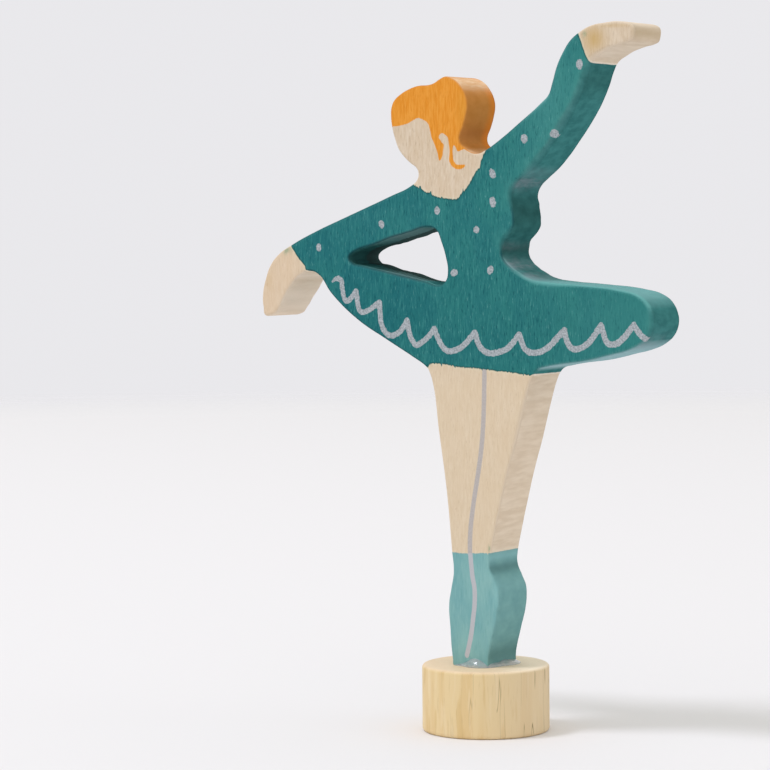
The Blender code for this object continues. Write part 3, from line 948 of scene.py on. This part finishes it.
def base_material():
    n = Nodes(bpy.data.materials.new("turned_wood"))
    broad = n.noise((0.34, 0.34, 0.02), detail=1.0)
    streak = n.noise((0.75, 0.75, 0.09))
    fibre = n.noise((3.2, 3.2, 0.30), detail=3.0)
    split = n.noise((0.85, 0.85, 0.050), detail=1.0, distortion=0.15)
    short = n.noise((1.3, 1.3, 0.16), detail=1.0)
    x, y, z = n.parts(n.place((1.0, 1.0, 1.0)))
    to_right = n.math("ADD", n.mul(x, 0.83), n.mul(y, 0.56))
    crack = n.spread(n.math("ABSOLUTE", n.centred(split)), 0.003, 0.014, 1.0, 0.0)
    crack = n.mul(crack, n.spread(short, 0.42, 0.54))
    crack = n.mul(crack, n.spread(to_right, -4.0, 4.0, 0.25, 1.0))
    # The top is paler to the right, painted light over the board's shadow there
    top = n.between(to_right, 0.0, 7.0, (236, 210, 181), (252, 236, 212))
    wood = n.over(
        n.mix(n.spread(broad, 0.42, 0.58, smooth=True), (227, 198, 146), (232, 207, 159)),
        (n.mul(n.spread(streak, 0.54, 0.64, smooth=True), 0.55), (218, 186, 128)),
        (n.mul(n.spread(streak, 0.42, 0.34, smooth=True), 0.45), (238, 216, 176)),
        (n.mul(n.spread(fibre, 0.40, 0.30), 0.25), (192, 158, 108)),
        # Painted shade on the right of the side, away from the key light
        (n.mul(n.spread(to_right, -2.0, 6.0), 0.55), (212, 191, 160)),
        (n.mul(crack, 0.78), (122, 104, 66)),
        (n.spread(z, 10.1, 10.45, 0.0, 0.75), top),
    )
    rough = n.spread(fibre, 0.3, 0.7, 0.50, 0.62)
    n.look(Base_Color=wood, Roughness=rough, Specular_IOR_Level=0.25, Normal=n.bump(fibre, 0.04 * MM, 0.5))
    return n.owner


def glue_material():
    n = Nodes(bpy.data.materials.new("clear_glue"))
    ripple = n.noise((0.9, 0.9, 0.9))
    n.look(
        Base_Color=n.between(ripple, 0.35, 0.65, (200, 216, 220), (232, 234, 236)),
        Roughness=n.spread(ripple, 0.3, 0.7, 0.06, 0.16),
        Normal=n.bump(ripple, 0.06 * MM, 0.4), Transmission_Weight=0.62, IOR=1.40,
    )
    return n.owner


# Foot and glue
def rings_about_z(profile, sides):
    """Vertices and faces of a centre point and rings about the Z axis, from (radius, height) pairs."""
    vertices = [(0.0, 0.0, profile[0][1])]
    for radius, height in profile[1:]:
        for side in range(sides):
            angle = 2 * math.pi * side / sides
            vertices.append((radius * math.cos(angle), radius * math.sin(angle), height))
    faces = [(0, 1 + side, 1 + (side + 1) % sides) for side in range(sides)]
    for ring in range(len(profile) - 2):
        upper = 1 + ring * sides
        lower = upper + sides
        for side in range(sides):
            following = (side + 1) % sides
            faces.append((upper + side, lower + side, lower + following, upper + following))
    return vertices, faces


def build_foot():
    """The turned disc with eased edges, as fine rings about the Z axis."""
    low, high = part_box("base")
    radius = (high.x - low.x) / 2
    height = high.z
    ease = FOOT_EASE * MM
    profile = [(0.0, height)] + [(r, height) for r in np.linspace(0.4 * MM, radius - ease, 20)]
    for angle in np.linspace(0.0, math.pi / 2, 8)[1:]:
        profile.append((radius - ease + ease * math.sin(angle), height - ease + ease * math.cos(angle)))
    profile += [(radius, z) for z in np.linspace(height - ease, ease, 26)[1:]]
    for angle in np.linspace(0.0, math.pi / 2, 6)[1:]:
        profile.append((radius - ease + ease * math.cos(angle), ease - ease * math.sin(angle)))
    profile += [(r, 0.0) for r in np.linspace(radius - ease, 0.4 * MM, 12)[1:]]
    vertices, faces = rings_about_z(profile, FOOT_SIDES)
    ring = len(vertices) - FOOT_SIDES
    faces += [(len(vertices), ring + (side + 1) % FOOT_SIDES, ring + side) for side in range(FOOT_SIDES)]
    return new_object("foot", vertices + [(0.0, 0.0, 0.0)], faces)


def glue_size(angle):
    """The glue's width and height in mm in a direction round the soles."""
    wave = 0.5 + 0.5 * math.sin(3 * angle + 1.0) * math.sin(5 * angle + 0.4)
    width = 0.15 + 0.25 * wave
    height = 0.15 + 0.20 * wave
    for middle, reach, power, wider, higher in GLUE_BULGES:
        turn = (angle - math.radians(middle) + math.pi) % (2 * math.pi) - math.pi
        bulge = math.exp(-abs(turn / reach) ** power)
        width += wider * bulge
        height += higher * bulge
    return width, height


def build_glue():
    """A low fillet of clear glue round the soles."""
    low_x, high_x, half_y = SOLES_BOX
    centre_x, half_x = (low_x + high_x) / 2, (high_x - low_x) / 2
    top = SOLES / MM - JOINT_GAP
    vertices = []
    for step in range(GLUE_STEPS):
        angle = 2 * math.pi * step / GLUE_STEPS
        across, away = math.cos(angle), math.sin(angle)
        width, height = glue_size(angle)
        square = abs(across / half_x) ** SOLES_POWER + abs(away / half_y) ** SOLES_POWER
        inner = square ** (-1 / SOLES_POWER) - GLUE_INSIDE
        profile = [
            (inner + (width + GLUE_INSIDE) * share, top + height * (1 - share ** 1.7))
            for share in np.linspace(0.0, 1.0, GLUE_ROWS + 1)
        ] + [(inner, top - 0.02)]
        vertices += [((centre_x + across * r) * MM, away * r * MM, z * MM) for r, z in profile]
    ring = GLUE_ROWS + 2
    faces = []
    for step in range(GLUE_STEPS):
        first, second = step * ring, (step + 1) % GLUE_STEPS * ring
        for i in range(ring):
            after = (i + 1) % ring
            faces.append((first + i, first + after, second + after, second + i))
    return new_object("glue_fillet", vertices, faces)


# Studio
def level_axes():
    """The level directions to the right of the camera's view and away from the camera."""
    turn = math.radians(CAMERA_TURN)
    return Vector((math.cos(turn), math.sin(turn), 0.0)), Vector((-math.sin(turn), math.cos(turn), 0.0))


def add_camera():
    pitch, roll = math.radians(CAMERA_PITCH), math.radians(CAMERA_ROLL)
    right, level = level_axes()
    forward = level * math.cos(pitch) - UP * math.sin(pitch)
    above = UP * math.cos(pitch) + level * math.sin(pitch)
    turned_right = right * math.cos(roll) + above * math.sin(roll)
    turned_above = above * math.cos(roll) - right * math.sin(roll)
    data = bpy.data.cameras.new("camera")
    data.sensor_width = SENSOR
    data.lens = FOCAL_PIXELS / PICTURE * SENSOR
    data.clip_start = 0.01
    data.clip_end = 20.0
    camera = bpy.data.objects.new("camera", data)
    turn = Matrix((turned_right, turned_above, -forward)).transposed().to_4x4()
    camera.matrix_world = Matrix.Translation(CAMERA_PLACE) @ turn
    bpy.context.scene.collection.objects.link(camera)
    bpy.context.scene.camera = camera


def add_area_light(name, target_height, direction, size, power, tint):
    data = bpy.data.lights.new(name, "AREA")
    data.shape = "DISK"
    data.size = size
    data.energy = power
    data.color = tint
    light = bpy.data.objects.new(name, data)
    towards = direction.normalized()
    light.location = UP * target_height + towards * LIGHT_DISTANCE
    light.rotation_euler = towards.to_track_quat("Z", "Y").to_euler()
    bpy.context.scene.collection.objects.link(light)


def add_world():
    """A pale surround, a little warmer above."""
    n = Nodes(bpy.data.worlds.new("studio"), "Background")
    _, _, height = n.parts(n.coordinates("Generated"))
    low, high = [0.818, 0.812, 0.836, 1.0], [0.830, 0.830, 0.790, 1.0]
    n.look(Color=n.between(height, 0.15, 0.50, low, high), Strength=1.0)
    bpy.context.scene.world = n.owner


def add_floor():
    """A wide disc that fades out at its rim."""
    rings = [0.0, 0.05, 0.1, 0.2, 0.4, 0.7, 0.8, 0.9, 1.0, 1.1, 1.2]
    floor = new_object("floor", *rings_about_z([(r, 0.0) for r in rings], 96), smooth=False)
    n = Nodes(bpy.data.materials.new("floor"))
    away = n.node("ShaderNodeVectorMath", {0: n.coordinates()}, operation="LENGTH").outputs["Value"]
    fade = n.spread(away, 0.78, 0.98, 1.0, 0.0, smooth=True)
    n.look(Base_Color=[0.816, 0.799, 0.814, 1.0], Roughness=0.9, Specular_IOR_Level=0.1, Alpha=fade)
    floor.data.materials.append(n.owner)


def add_studio():
    view = bpy.context.scene.view_settings
    view.view_transform = "Standard"
    view.look = "None"
    add_world()
    right, away = level_axes()
    key = right * -0.50 + away * -0.12 + UP
    add_area_light("key_light", 0.03, key, 0.54, 22.0, (0.88, 0.90, 1.0))
    add_area_light("side_light", 0.06, Vector((1.0, 0.15, 0.55)), 1.60, 4.0, (0.90, 0.96, 1.0))
    add_floor()


def main():
    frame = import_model()
    nodes = frame["nodes"]

    paint = Paint()
    dancer = build_dancer(nodes["figure"], paint)
    dancer.data.materials.append(board_material())
    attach(dancer, "root")
    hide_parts("figure")

    foot = build_foot()
    foot.data.materials.append(base_material())
    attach(foot, "root")
    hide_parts("base")

    glue = build_glue()
    glue.data.materials.append(glue_material())
    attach(glue, "root")
    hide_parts("glue_bead")

    add_camera()
    add_studio()


main()
